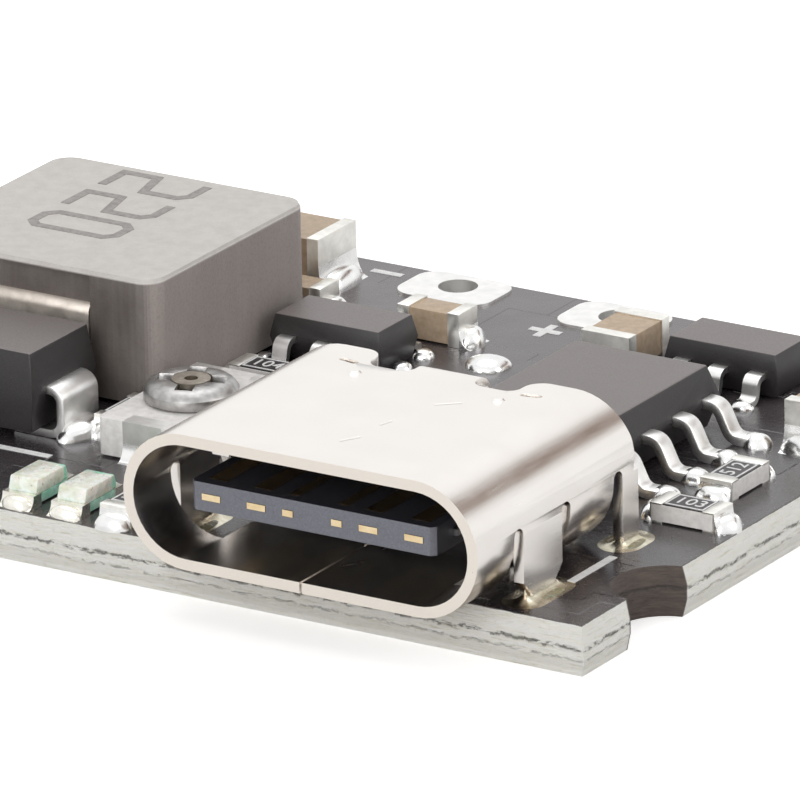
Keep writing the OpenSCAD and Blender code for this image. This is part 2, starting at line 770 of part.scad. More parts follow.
module sot_leads() {
    chip_leads(sot_w, sot_h, sot_span, sot_stand, sot_lead_w, sot_lead_t, sot_pitch, 3, 78);
}

module sot_solder() {
    chip_solder(sot_w, sot_span, sot_lead_w, sot_lead_t, sot_pitch, 3, 0.2);
}

module boost_chip_body() {
    color("#3b3737") on_board(boost_at) sot_body();
}

module boost_chip_leads() {
    color("#c4c7cb") on_board(boost_at) sot_leads();
}

module boost_chip_solder() {
    color("#d5d8dc") on_board(boost_at) sot_solder();
}

module protection_chip_body() {
    color("#3b3737") on_board(protect_at) sot_body();
}

module protection_chip_leads() {
    color("#c4c7cb") on_board(protect_at) sot_leads();
}

module protection_chip_solder() {
    color("#d5d8dc") on_board(protect_at) sot_solder();
}

// Places of the trimmer's terminals: the two ends of its track, and the wiper's on the other side
module trim_terminal_places() {
    for (x = [-1, 1]) translate([x * (trim_w / 2 - trim_end_w / 2), 0, 0]) trim_terminal(trim_end_w);
    rotate([0, 0, 180]) trim_terminal(trim_wiper_w);
}

// Terminal that wraps the base's end over its top and under its bottom
module trim_terminal(w) {
    translate([-w / 2, -trim_d / 2, 0]) {
        cube([w, trim_end_l, trim_end_t]);
        cube([w, trim_end_t, trim_h]);
        translate([0, 0, trim_h - trim_end_t]) cube([w, trim_end_l, trim_end_t]);
    }
}

module trimmer_base() {
    color("#d9cfc8") on_board(trim_at) difference() {
        translate([0, 0, trim_end_t / 2]) linear_extrude(trim_h - trim_end_t / 2) rounded(trim_w, trim_d, 0.15);
        trim_terminal_places();
        translate([0, 0, trim_h / 2]) cylinder(d = eyelet_d, h = trim_h);
    }
}

module trimmer_terminals() {
    color("#d5d8dc") on_board(trim_at) trim_terminal_places();
}

// Eyelet that the rotor turns on, its head sunk in the rotor's hub
module trimmer_eyelet() {
    color("#d8a857") on_board(trim_at) difference() {
        union() {
            translate([0, 0, trim_h / 2]) cylinder(d = eyelet_d, h = rotor_top - head_t / 2 - trim_h / 2);
            translate([0, 0, rotor_top - head_t]) cylinder(d = eyelet_head_d, h = head_t);
        }
        translate([0, 0, rotor_top - 0.3]) cylinder(d = eyelet_d - 0.2, h = 1);
    }
}

// Stamped rotor: domed skirt, cross slot and a sunk hub
module trimmer_rotor() {
    r = rotor_d / 2;
    color("#c9cbce") on_board(trim_at) translate([0, 0, rotor_z]) difference() {
        rotate_extrude() polygon([[0, 0], [r, 0], [r, rotor_t * 0.5], [r - 0.12, rotor_t * 0.85],
                                  [r - 0.3, rotor_t], [0, rotor_t]]);
        translate([0, 0, -1]) cylinder(r = eyelet_d / 2 + run_gap, h = 3);
        translate([0, 0, rotor_t - head_t - run_gap]) cylinder(r = eyelet_head_d / 2 + run_gap, h = 1);
        rotate([0, 0, 20]) for (a = [0, 90]) rotate([0, 0, a])
            translate([-rotor_d * 0.37, -cross_w / 2, rotor_t * 0.45]) cube([rotor_d * 0.74, cross_w, 1]);
        rotate([0, 0, 245]) translate([r - 0.14, -0.2, -1]) cube([1, 0.4, 3]);
    }
}

module trimmer_solder() {
    color("#d5d8dc") on_board(trim_at) {
        for (x = [-1, 1]) translate([x * (trim_w / 2 - trim_end_w / 2), -trim_d / 2, 0])
            rotate([0, 0, -90]) fillet(trim_end_w, 0.4, 0.25);
        translate([0, trim_d / 2, 0]) rotate([0, 0, 90]) fillet(trim_wiper_w, 0.4, 0.25);
    }
}

// Lamp: base with plated ends and a drafted lens on top
module lamp_base(i) {
    on_board(leds_at[i]) ceramic_block(res_l, res_w, led_base_h, true);
}

module lamp_ends(i) {
    on_board(leds_at[i]) plated_ends(res_l, res_w, led_base_h, true);
}

module lamp_lens(i) {
    foot = res_l / 2 - end_l;
    half = led_lens_l / 2;
    top = led_h - led_base_h + end_t;
    on_board(leds_at[i]) translate([0, 0, led_base_h - end_t]) along_y(res_w - 2 * end_t)
        polygon([[-foot, 0], [foot, 0], [foot, end_t], [half, end_t], [half - 0.1, top],
                 [-half + 0.1, top], [-half, end_t], [-foot, end_t]]);
}

module charging_lamp_base() {
    color("#8fd8b4") lamp_base(0);
}

module charging_lamp_lens() {
    color("#e3e6cf") lamp_lens(0);
}

module charging_lamp_ends() {
    color("#d6cfae") lamp_ends(0);
}

module full_lamp_base() {
    color("#8fd8b4") lamp_base(1);
}

module full_lamp_lens() {
    color("#e3e6cf") lamp_lens(1);
}

module full_lamp_ends() {
    color("#d6cfae") lamp_ends(1);
}

module lamp_solder() {
    color("#d5d8dc") for (p = leds_at) on_board(p) end_fillets(res_l, res_w, led_base_h, 0.22);
}

module resistor_blocks() {
    color("#b9bdb8") for (p = resistors_at) on_board(p) ceramic_block(res_l, res_w, res_h);
}

module resistor_coats() {
    color("#4a4748") for (p = resistors_at) on_board(p)
        translate([-res_l / 2 + end_l, -res_w / 2 + 0.04, res_h - end_t])
            cube([res_l - 2 * end_l, res_w - 0.08, end_t * 0.7]);
}

module resistor_ends() {
    color("#d5d8dc") for (p = resistors_at) on_board(p) plated_ends(res_l, res_w, res_h);
}

module resistor_solder() {
    color("#d5d8dc") for (p = resistors_at) on_board(p) end_fillets(res_l, res_w, res_h * 0.8, 0.26);
}

module capacitor_blocks() {
    color("#9a7a58") for (p = caps_at) on_board(p) ceramic_block(p[3], p[4], p[5], true);
}

module capacitor_ends() {
    color("#dad6c8") for (p = caps_at) on_board(p) plated_ends(p[3], p[4], p[5], true);
}

module capacitor_solder() {
    color("#d5d8dc") for (p = caps_at) on_board(p) end_fillets(p[3], p[4], p[5] * 0.5, 0.3);
}

board();
wire_hole_plating();
test_pad();
usb_shell();
usb_insulator();
usb_mid_plate();
usb_supply_contacts();
usb_signal_contacts();
usb_leg_solder();
usb_tail_solder();
inductor_body();
inductor_front_strap();
inductor_rear_strap();
inductor_solder();
diode_body();
diode_leads();
diode_solder();
charger_chip_body();
charger_chip_leads();
charger_chip_solder();
boost_chip_body();
boost_chip_leads();
boost_chip_solder();
protection_chip_body();
protection_chip_leads();
protection_chip_solder();
trimmer_base();
trimmer_rotor();
trimmer_eyelet();
trimmer_terminals();
trimmer_solder();
charging_lamp_base();
charging_lamp_lens();
charging_lamp_ends();
full_lamp_base();
full_lamp_lens();
full_lamp_ends();
lamp_solder();
resistor_blocks();
resistor_coats();
resistor_ends();
resistor_solder();
capacitor_blocks();
capacitor_ends();
capacitor_solder();
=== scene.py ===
"""Looks for the lithium battery charger module: materials, printed marks, light and camera.

The frame is metres, with the origin at the middle of the board's underside, +Z up and the
socket looking along -Y. Lengths below are in millimetres until they are multiplied by MM.
"""
import json
import math

import bmesh
import bpy
from mathutils import Matrix, Vector


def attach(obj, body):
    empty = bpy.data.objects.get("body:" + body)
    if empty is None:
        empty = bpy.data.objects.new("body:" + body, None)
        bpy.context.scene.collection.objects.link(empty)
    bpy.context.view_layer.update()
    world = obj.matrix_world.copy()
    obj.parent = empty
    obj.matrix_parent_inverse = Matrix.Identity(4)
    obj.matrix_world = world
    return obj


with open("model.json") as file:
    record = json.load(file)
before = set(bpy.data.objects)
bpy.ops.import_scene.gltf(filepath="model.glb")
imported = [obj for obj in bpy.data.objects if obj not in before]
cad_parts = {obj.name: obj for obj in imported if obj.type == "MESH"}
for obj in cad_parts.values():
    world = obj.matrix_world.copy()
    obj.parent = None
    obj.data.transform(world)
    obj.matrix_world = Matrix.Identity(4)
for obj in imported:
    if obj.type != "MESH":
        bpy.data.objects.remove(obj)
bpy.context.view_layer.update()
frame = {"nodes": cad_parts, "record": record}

nodes = frame["nodes"]

MM = 0.001

# Sizes and places that repeat those of the CAD source, across and to the back from the board's middle
BOARD_T = 1.15
LIP_Y = -10.18
# Notch: place and radius. Coil: place and height
NOTCH = (11.95, -5.85, 1.15)
COIL = (-6.55, 1.1, 3.0)
DIODE = (-6.6, -3.9)
CHIP = (6.2, 0.55)
CHIP_PITCH = 1.27
SMALL_CHIPS = ((-1.55, 2.9), (6.85, 5.85))
SMALL_CHIP_PITCH = 0.95
LAMPS_X = (-2.65, -1.4)
# Resistors: across, to the back, turn, printed value
RESISTORS = ((10.5, -2.3, 0, "103"), (10.24, -0.05, 90, "512"), (-0.15, -7.7, 90, "102"),
             (-3.34, -3.05, 90, "472"), (-2.155, 0.72, 0, "104"))
RESISTOR_H = 0.45
# Capacitors: across, to the back, turn, length, width
CAPACITORS = ((3.9, 5.9, 90, 1.7, 1.25), (10.55, 3.6, 90, 2.0, 1.25), (-5.85, 7.0, 0, 3.1, 1.6),
              (-4.2, 5.25, 0, 1.6, 0.8), (-0.45, 5.05, 0, 1.6, 0.8))
# Feet of the socket's legs: across, to the back, half width
LEG_FEET = ((9.9, -7.575, 0.62), (1.3, -7.575, 0.62), (9.9, -4.0, 0.34), (1.3, -4.0, 0.34))

# Print: thickness, width of the board's marks, and share of the font's size that a digit stands high
INK_T = 0.012
MARK_W = 0.2
DIGIT_SHARE = 0.7

# Finishing of the surfaces: gap that is welded, and angles in degrees above which an edge counts
WELD_GAP = 0.0005
FLAT_ANGLE = 0.3
SHARP_ANGLE = 34
ROUNDED_ANGLE = 38

# Solder mounds: points round each, rows up its side and depth below the board's face
MOUND_POINTS = 28
MOUND_ROWS = 10
MOUND_SUNK = 0.02

# Camera: azimuth, elevation and roll in degrees, aim in millimetres, distance in metres, lens in millimetres
CAMERA_TURN = (32.3771, 19.7944, -1.128)
CAMERA_AIM = (-4.679, 10.098, -2.645)
CAMERA_DISTANCE = 0.31625
CAMERA_LENS = 626.18

# Studio: half of the floor, its glow to the camera, world light, and the lamps' place, size, power and colour
FLOOR_HALF = 1.2
FLOOR_GLOW = 0.45
WORLD_FILL = 0.42
STRIP_TINT = (0.15, 0.075, 0.036, 1)
STUDIO_LAMPS = {
    "top_lamp": ((-0.05, 0.08, 0.32), 0.3, 0.34, (1, 1, 1)),
    "right_lamp": ((0.30, 0.05, 0.16), 0.22, 0.24, (1, 0.985, 0.97)),
    "front_lamp": ((0.04, -0.34, 0.15), 0.25, 0.58, (1, 1, 1)),
}


# Shader building

class Shade:
    """A material with its surface shader and a few helpers for wiring nodes."""

    def __init__(self, name, **values):
        self.material = bpy.data.materials.new(name)
        self.material.use_nodes = True
        self.tree = self.material.node_tree
        self.shader = self.tree.nodes["Principled BSDF"]
        coords = self.add("ShaderNodeTexCoord")
        self.place = self.add("ShaderNodeVectorMath", operation="SCALE")
        self.link(coords.outputs["Object"], self.place.inputs[0])
        self.place.inputs["Scale"].default_value = 1000
        self.mm = self.place.outputs[0]
        self.split = None
        for key, value in values.items():
            self.shader.inputs[key.replace("_", " ")].default_value = value

    def add(self, kind, **settings):
        made = self.tree.nodes.new(kind)
        for key, value in settings.items():
            setattr(made, key, value)
        return made

    def link(self, source, target):
        self.tree.links.new(source, target)

    def feed(self, target, value):
        """Sets a socket to a number or a colour, or links an output to it."""
        if isinstance(value, (int, float)):
            target.default_value = value
        elif isinstance(value, tuple):
            target.default_value = value if len(value) == 4 or target.type == "VECTOR" else (*value, 1)
        else:
            self.link(value, target)

    def axis(self, name):
        """Place along one axis, in millimetres."""
        if self.split is None:
            self.split = self.add("ShaderNodeSeparateXYZ")
            self.link(self.mm, self.split.inputs[0])
        return self.split.outputs[name]

    def facing(self, name):
        """How far the surface faces along one axis, from -1 to 1."""
        geometry = self.add("ShaderNodeNewGeometry")
        parts = self.add("ShaderNodeSeparateXYZ")
        self.link(geometry.outputs["True Normal"], parts.inputs[0])
        return parts.outputs[name]

    def math(self, operation, a, b=0.0, c=0.0):
        made = self.add("ShaderNodeMath", operation=operation)
        for socket, value in zip(made.inputs, (a, b, c)):
            self.feed(socket, value)
        return made.outputs[0]

    def between(self, value, low, high):
        """Smooth 0 to 1 as a value goes from low to high."""
        made = self.add("ShaderNodeMapRange", interpolation_type="SMOOTHSTEP")
        self.feed(made.inputs["Value"], value)
        made.inputs["From Min"].default_value = low
        made.inputs["From Max"].default_value = high
        return made.outputs["Result"]

    def band(self, value, low, high, soft=0.01):
        """1 inside a range and 0 outside it."""
        return self.math("MULTIPLY", self.between(value, low - soft, low + soft),
                         self.between(value, high + soft, high - soft))

    def stretched(self, x, y, z):
        """Place with each axis scaled, for a pattern that is drawn out."""
        made = self.add("ShaderNodeVectorMath", operation="MULTIPLY")
        self.link(self.mm, made.inputs[0])
        made.inputs[1].default_value = (x, y, z)
        return made.outputs[0]

    def noise(self, scale, detail=3.0, rough=0.5, place=None):
        made = self.add("ShaderNodeTexNoise")
        self.link(place or self.mm, made.inputs["Vector"])
        made.inputs["Scale"].default_value = scale
        made.inputs["Detail"].default_value = detail
        made.inputs["Roughness"].default_value = rough
        return made.outputs["Fac"]

    def cells(self, scale, place=None):
        made = self.add("ShaderNodeTexVoronoi", distance="CHEBYCHEV")
        self.link(place or self.mm, made.inputs["Vector"])
        made.inputs["Scale"].default_value = scale
        return made.outputs["Distance"]

    def stroke(self, x, y, turn, length, width, soft=0.03):
        """1 on a short straight mark, seen from above, and 0 off it."""
        c, s = math.cos(math.radians(turn)), math.sin(math.radians(turn))
        dx, dy = self.math("SUBTRACT", self.axis("X"), x), self.math("SUBTRACT", self.axis("Y"), y)
        along = self.math("ADD", self.math("MULTIPLY", dx, c), self.math("MULTIPLY", dy, s))
        across = self.math("SUBTRACT", self.math("MULTIPLY", dy, c), self.math("MULTIPLY", dx, s))
        return self.math("MULTIPLY", self.band(along, -length / 2, length / 2, soft),
                         self.band(across, -width / 2, width / 2, soft))

    def ramp(self, value, *stops):
        made = self.add("ShaderNodeValToRGB")
        self.link(value, made.inputs[0])
        points = made.color_ramp.elements
        while len(points) < len(stops):
            points.new(0.5)
        for point, (position, colour) in zip(points, stops):
            point.position = position
            point.color = (*colour, 1)
        return made.outputs[0]

    def mix(self, share, a, b):
        made = self.add("ShaderNodeMix", data_type="RGBA")
        self.feed(made.inputs[0], share)
        self.feed(made.inputs[6], a)
        self.feed(made.inputs[7], b)
        return made.outputs[2]

    def colour(self, value):
        self.feed(self.shader.inputs["Base Color"], value)

    def rough(self, value, low, high):
        """Roughness from low to high as a value goes from 0 to 1."""
        made = self.add("ShaderNodeMapRange")
        self.link(value, made.inputs["Value"])
        made.inputs["To Min"].default_value = low
        made.inputs["To Max"].default_value = high
        self.link(made.outputs["Result"], self.shader.inputs["Roughness"])

    def bump(self, height, depth):
        """Adds a relief, as deep as given in millimetres, over those before it."""
        made = self.add("ShaderNodeBump")
        made.inputs["Distance"].default_value = depth * MM
        self.link(height, made.inputs["Height"])
        if self.shader.inputs["Normal"].is_linked:
            self.link(self.shader.inputs["Normal"].links[0].from_socket, made.inputs["Normal"])
        self.link(made.outputs[0], self.shader.inputs["Normal"])


def solder_mask():
    """Dark gloss mask on both faces, pale glass fibre on the cut edges, brown in the milled notch."""
    s = Shade("solder_mask", Metallic=0.0, IOR=1.9)
    x, y, z = s.axis("X"), s.axis("Y"), s.axis("Z")
    up = s.math("ABSOLUTE", s.facing("Z"))
    flat = s.between(up, 0.75, 0.9)
    grain = s.noise(9, 4, 0.6)
    mask = s.ramp(grain, (0.3, (0.020, 0.016, 0.018)), (0.7, (0.034, 0.028, 0.031)))
    pours = s.cells(0.36, s.stretched(1, 1, 0))
    copper = s.between(pours, 0.40, 0.42)
    mask = s.mix(s.math("MULTIPLY", copper, 0.35), mask, (0.048, 0.040, 0.044))
    # Painted reflection: the mask is lightened towards the back, where it mirrors the bright room
    mask = s.mix(s.math("MULTIPLY", s.between(y, 0.0, 8.0), 0.6), mask, (0.125, 0.108, 0.112))
    weave = s.noise(1.1, 6, 0.72, s.stretched(1.3, 1.3, 15))
    fibre = s.ramp(weave, (0.30, (0.74, 0.71, 0.59)), (0.42, (0.95, 0.94, 0.86)), (0.60, (0.99, 0.98, 0.95)))
    strands = s.noise(4.5, 4, 0.7, s.stretched(2, 2, 1.5))
    fibre = s.mix(s.math("MULTIPLY", s.between(strands, 0.56, 0.68), 0.20), fibre, (0.56, 0.56, 0.46))
    low_side = s.math("MULTIPLY", s.between(z, 0.42, 0.30), s.between(z, 0.10, 0.18))
    fibre = s.mix(s.math("MULTIPLY", low_side, 0.22), fibre, (0.46, 0.43, 0.37))
    wander = s.math("SUBTRACT", s.noise(2.6, 6, 0.75, s.stretched(1, 1, 0)), 0.5)
    middle = s.math("ADD", z, s.math("MULTIPLY", wander, 0.34))
    upper_tear, lower_tear = s.band(middle, 0.61, 0.67, 0.03), s.band(middle, 0.37, 0.40, 0.03)
    tear = s.math("MAXIMUM", upper_tear, s.math("MULTIPLY", lower_tear, 0.5))
    torn = s.math("MULTIPLY", tear, s.between(s.noise(3.3, 4, 0.7, s.stretched(1, 1, 3)), 0.44, 0.56))
    fibre = s.mix(s.math("MULTIPLY", torn, 0.85), fibre, (0.17, 0.155, 0.12))
    ragged = s.math("ADD", z, s.math("MULTIPLY", wander, 0.06))
    rim = s.between(ragged, BOARD_T - 0.03, BOARD_T - 0.01)
    fibre = s.mix(rim, fibre, (0.06, 0.055, 0.055))
    notch_x, notch_y, notch_r = NOTCH
    away = s.math("SQRT", s.math("ADD", s.math("POWER", s.math("SUBTRACT", x, notch_x), 2.0),
                                 s.math("POWER", s.math("SUBTRACT", y, notch_y), 2.0)))
    milled = s.between(away, notch_r + 0.06, notch_r + 0.02)
    passes = s.noise(3, 3, 0.5, s.stretched(1, 1, 6))
    brown = s.ramp(passes, (0.3, (0.055, 0.036, 0.028)), (0.7, (0.12, 0.085, 0.066)))
    side = s.mix(milled, fibre, brown)
    s.colour(s.mix(flat, side, mask))
    rough = s.math("MULTIPLY_ADD", flat, -0.56, 0.82)
    s.rough(s.math("ADD", rough, s.math("MULTIPLY", s.math("SUBTRACT", grain, 0.5), 0.12)), 0.0, 1.0)
    s.bump(s.noise(0.9, 2, 0.4), 0.02)
    s.bump(s.math("MULTIPLY", copper, flat), 0.012)
    s.bump(s.math("MULTIPLY", weave, s.math("SUBTRACT", 1.0, flat)), 0.10)
    s.bump(s.math("MULTIPLY", torn, s.math("SUBTRACT", flat, 1.0)), 0.08)
    return s.material


def shell_steel():
    """Bright nickel plate with faint rolling marks, warm cut edges and a few rubs on the top."""
    s = Shade("shell_steel", Metallic=1.0)
    cloud = s.noise(0.7, 3, 0.55)
    plate = s.ramp(cloud, (0.25, (0.88, 0.84, 0.80)), (0.75, (0.915, 0.88, 0.845)))
    forward = s.math("MULTIPLY", s.facing("Y"), -1.0)
    cut = s.math("MULTIPLY", s.between(forward, 0.75, 0.95), s.between(s.axis("Y"), LIP_Y + 0.08, LIP_Y + 0.03))
    plate = s.mix(s.math("MULTIPLY", cut, 0.8), plate, (0.90, 0.83, 0.74))
    turn = s.math("MULTIPLY", s.band(forward, 0.2, 0.6, 0.05), s.between(s.axis("Y"), LIP_Y + 0.10, LIP_Y + 0.06))
    plate = s.mix(s.math("MULTIPLY", turn, 0.7), plate, (0.50, 0.34, 0.22))
    # Painted shade: faces that look down are darkened to brown
    under = s.between(s.math("MULTIPLY", s.facing("Z"), -1.0), 0.12, 0.55)
    plate = s.mix(s.math("MULTIPLY", under, 0.8), plate, (0.34, 0.26, 0.21))
    front_rub, middle_rub = s.stroke(5.96, -8.68, 60, 0.5, 0.08), s.stroke(6.1, -7.47, 75, 0.35, 0.06)
    rear_rub = s.stroke(6.62, -5.82, 40, 0.6, 0.07)
    rubs = s.math("MAXIMUM", front_rub, s.math("MAXIMUM", middle_rub, rear_rub))
    rubs = s.math("MULTIPLY", rubs, s.between(s.facing("Z"), 0.9, 0.97))
    s.colour(s.mix(s.math("MULTIPLY", rubs, 0.5), plate, (0.66, 0.62, 0.57)))
    rolled = s.noise(2.2, 4, 0.6, s.stretched(6, 0.5, 6))
    s.rough(s.math("ADD", s.math("ADD", s.math("MULTIPLY", cloud, 0.5), s.math("MULTIPLY", rolled, 0.5)),
                   s.math("MULTIPLY", rubs, 0.6)), 0.14, 0.34)
    s.bump(rolled, 0.001)
    s.bump(s.noise(0.5, 2, 0.4), 0.006)
    s.bump(s.math("MULTIPLY", rubs, -1.0), 0.01)
    return s.material


def plated(name, dark, light, low, high, lumps=0.02, scale=2.0):
    """Plated or soldered metal: cloudy colour, uneven gloss and soft lumps."""
    s = Shade(name, Metallic=1.0)
    cloud = s.noise(scale * 1.7, 3, 0.55)
    s.colour(s.ramp(cloud, (0.25, dark), (0.7, light)))
    s.rough(s.noise(scale * 2.6, 4, 0.6), low, high)
    s.bump(s.noise(scale, 2, 0.5), lumps)
    s.bump(s.noise(scale * 9, 3, 0.6), lumps * 0.08)
    return s.material


def insulator_plastic():
    """Dark moulded plastic, with painted light: the forward faces towards the mouth are paler."""
    s = Shade("insulator_plastic")
    speckle = s.noise(26, 4, 0.65)
    front = s.between(s.math("MULTIPLY", s.facing("Y"), -1.0), 0.4, 0.8)
    deep = s.ramp(speckle, (0.3, (0.020, 0.020, 0.026)), (0.75, (0.040, 0.041, 0.052)))
    # Painted light: forward faces near the mouth get this paler tone, as if lit from the front
    lit_front_tone = s.ramp(speckle, (0.3, (0.12, 0.125, 0.15)), (0.75, (0.19, 0.195, 0.225)))
    s.colour(s.mix(s.math("MULTIPLY", front, s.between(s.axis("Y"), -9.0, -9.4)), deep, lit_front_tone))
    s.rough(speckle, 0.28, 0.42)
    s.bump(speckle, 0.006)
    return s.material


def moulding():
    """Black epoxy package: fine matt sides and a smoother top with a painted sheen, paler than the sides."""
    s = Shade("moulding", IOR=1.6)
    up = s.between(s.facing("Z"), 0.8, 0.95)
    speckle = s.noise(24, 4, 0.65)
    side = s.ramp(speckle, (0.3, (0.012, 0.010, 0.011)), (0.75, (0.024, 0.020, 0.021)))
    # Painted sheen: the top is paler than the sides, for the gloss it shows at this low angle
    top = s.ramp(speckle, (0.3, (0.135, 0.115, 0.112)), (0.75, (0.225, 0.198, 0.192)))
    s.colour(s.mix(up, side, top))
    s.rough(s.math("SUBTRACT", speckle, s.math("MULTIPLY", up, 0.5)), 0.38, 0.52)
    s.bump(speckle, 0.006)
    s.bump(s.noise(1.6, 2, 0.5), 0.008)
    return s.material


def rotor_metal():
    """Dull stamped plate with the bottoms of its slots painted dark as shade."""
    s = Shade("rotor_metal", Metallic=1.0)
    cloud = s.noise(5.0, 3, 0.55)
    plate = s.ramp(cloud, (0.25, (0.30, 0.295, 0.29)), (0.7, (0.52, 0.51, 0.50)))
    # Painted shade: the upward faces at the bottom of the slots are made near black
    slot_shade = s.math("MULTIPLY", s.between(s.axis("Z"), 2.40, 2.34), s.between(s.facing("Z"), 0.8, 0.95))
    s.colour(s.mix(slot_shade, plate, (0.05, 0.045, 0.045)))
    s.rough(cloud, 0.28, 0.46)
    s.bump(s.noise(3.0, 2, 0.5), 0.015)
    return s.material


def iron_powder():
    """Pressed powder: pale lacquered top that wraps over the edge, brown-grey sides."""
    s = Shade("iron_powder")
    top_z = BOARD_T + COIL[2]
    up = s.math("MAXIMUM", s.between(s.facing("Z"), 0.55, 0.9), s.between(s.axis("Z"), top_z - 0.13, top_z - 0.08))
    grain = s.noise(14, 4, 0.7)
    drag = s.noise(1.2, 4, 0.65, s.stretched(5, 5, 0.25))
    cloud = s.noise(0.55, 3, 0.6)
    tone = s.math("ADD", s.math("MULTIPLY", drag, 0.3), s.math("MULTIPLY", cloud, 0.7))
    side = s.ramp(tone, (0.3, (0.095, 0.080, 0.072)), (0.5, (0.155, 0.134, 0.122)), (0.7, (0.22, 0.195, 0.18)))
    # Painted light: faces that look towards +X, where the right lamp stands, are lightened
    side = s.mix(s.math("MULTIPLY", s.between(s.facing("X"), 0.3, 0.8), 0.6), side, (0.42, 0.37, 0.35))
    side = s.mix(s.math("MULTIPLY", s.between(grain, 0.45, 0.7), 0.2), side, (0.09, 0.075, 0.07))
    top = s.ramp(s.noise(3.2, 4, 0.6), (0.3, (0.58, 0.55, 0.52)), (0.7, (0.66, 0.635, 0.61)))
    top = s.mix(s.math("MULTIPLY", s.between(grain, 0.55, 0.75), 0.2), top, (0.36, 0.33, 0.31))
    s.colour(s.mix(up, side, top))
    s.rough(grain, 0.42, 0.62)
    s.bump(grain, 0.010)
    s.bump(drag, 0.008)
    return s.material


def lamp_resin(name, dark, light, clear, tail=None):
    """Clear to milky resin, with a second tint and a few brown spots at the rear where one is given."""
    s = Shade(name, IOR=1.5, Transmission_Weight=clear, Subsurface_Weight=0.3, Subsurface_Scale=0.0004)
    cloud = s.noise(5.0, 3, 0.6)
    tint = s.ramp(cloud, (0.3, dark), (0.6, light))
    if tail:
        rear = s.math("ADD", s.axis("Y"), s.math("MULTIPLY", s.math("SUBTRACT", s.noise(3.0, 3), 0.5), 0.6))
        tint = s.mix(s.between(rear, -7.32, -7.16), tint, tail)
        spots = s.between(s.noise(9.0, 2), 0.66, 0.70)
        tint = s.mix(s.math("MULTIPLY", spots, 0.5), tint, (0.30, 0.22, 0.16))
    s.colour(tint)
    s.rough(cloud, 0.16, 0.36)
    s.bump(cloud, 0.03)
    return s.material


def fired_ceramic(name, dark, light, roughness=0.45):
    """Fired ceramic or a glassy coat: faint clouds and a fine grain."""
    s = Shade(name)
    cloud = s.noise(6, 4, 0.6)
    s.colour(s.ramp(cloud, (0.3, dark), (0.7, light)))
    s.rough(cloud, roughness - 0.08, roughness + 0.1)
    s.bump(s.noise(18, 3, 0.6), 0.006)
    return s.material


def ink(name, dark, light):
    """Printed ink, a little worn."""
    s = Shade(name)
    worn = s.noise(7, 4, 0.7)
    s.colour(s.ramp(worn, (0.35, dark), (0.6, light)))
    s.rough(worn, 0.4, 0.6)
    s.bump(worn, 0.004)
    return s.material


MATERIALS = {
    "solder_mask": solder_mask(),
    "shell_steel": shell_steel(),
    "tinned_copper": plated("tinned_copper", (0.80, 0.80, 0.78), (0.94, 0.93, 0.92), 0.3, 0.46, 0.006),
    "insulator_plastic": insulator_plastic(),
    "plate_steel": plated("plate_steel", (0.45, 0.45, 0.46), (0.60, 0.60, 0.61), 0.25, 0.4, 0.004),
    "gold_plate": plated("gold_plate", (0.84, 0.62, 0.34), (0.97, 0.80, 0.52), 0.16, 0.3, 0.004),
    "solder": plated("solder", (0.82, 0.82, 0.82), (0.95, 0.95, 0.94), 0.14, 0.3, 0.008, 1.6),
    "iron_powder": iron_powder(),
    "moulding": moulding(),
    "white_ceramic": fired_ceramic("white_ceramic", (0.72, 0.70, 0.68), (0.90, 0.88, 0.86)),
    "rotor_metal": rotor_metal(),
    "brass": plated("brass", (0.40, 0.36, 0.30), (0.66, 0.61, 0.53), 0.26, 0.42, 0.01, 3.0),
    "lamp_base": lamp_resin("lamp_base", (0.34, 0.72, 0.54), (0.60, 0.88, 0.76), 0.0),
    "lamp_lens": lamp_resin("lamp_lens", (0.72, 0.74, 0.60), (0.95, 0.95, 0.88), 0.0, (0.34, 0.80, 0.60)),
    "plated_end": plated("plated_end", (0.78, 0.77, 0.73), (0.95, 0.94, 0.89), 0.26, 0.46, 0.01, 2.4),
    "resistor_coat": fired_ceramic("resistor_coat", (0.022, 0.019, 0.022), (0.040, 0.034, 0.038), 0.3),
    "capacitor_ceramic": fired_ceramic("capacitor_ceramic", (0.44, 0.33, 0.22), (0.60, 0.46, 0.33), 0.4),
    "white_ink": ink("white_ink", (0.74, 0.74, 0.74), (0.90, 0.90, 0.90)),
    "dark_ink": ink("dark_ink", (0.24, 0.22, 0.21), (0.36, 0.34, 0.325)),
    "strap_bronze": plated("strap_bronze", (0.62, 0.56, 0.50), (0.84, 0.77, 0.70), 0.5, 0.66, 0.01),
    "lamp_solder": plated("lamp_solder", (0.80, 0.78, 0.70), (0.95, 0.93, 0.86), 0.16, 0.34, 0.012, 2.2),
    "leg_solder": plated("leg_solder", (0.52, 0.47, 0.33), (0.82, 0.78, 0.64), 0.14, 0.34, 0.012, 2.2),
    "flux": lamp_resin("flux", (0.36, 0.31, 0.18), (0.54, 0.48, 0.32), 0.5),
}

SLOTS = {item["node"]: item["material_slot"] for item in frame["record"]["subparts"]}
OWN_LOOK = {"inductor_front_strap": "strap_bronze", "inductor_rear_strap": "strap_bronze",
            "charging_lamp_ends": "lamp_solder", "full_lamp_ends": "lamp_solder", "lamp_solder": "lamp_solder",
            "usb_leg_solder": "leg_solder"}
ROUNDING = {"usb_shell": 0.045, "inductor_body": 0.07, "diode_body": 0.04, "charger_chip_body": 0.05,
            "boost_chip_body": 0.03, "protection_chip_body": 0.03, "usb_insulator": 0.03, "trimmer_base": 0.03,
            "trimmer_rotor": 0.03, "capacitor_blocks": 0.03, "capacitor_ends": 0.012, "resistor_ends": 0.01,
            "charger_chip_leads": 0.03, "diode_leads": 0.03, "inductor_front_strap": 0.03,
            "inductor_rear_strap": 0.03, "charging_lamp_lens": 0.05, "full_lamp_lens": 0.05}


# Shape helpers

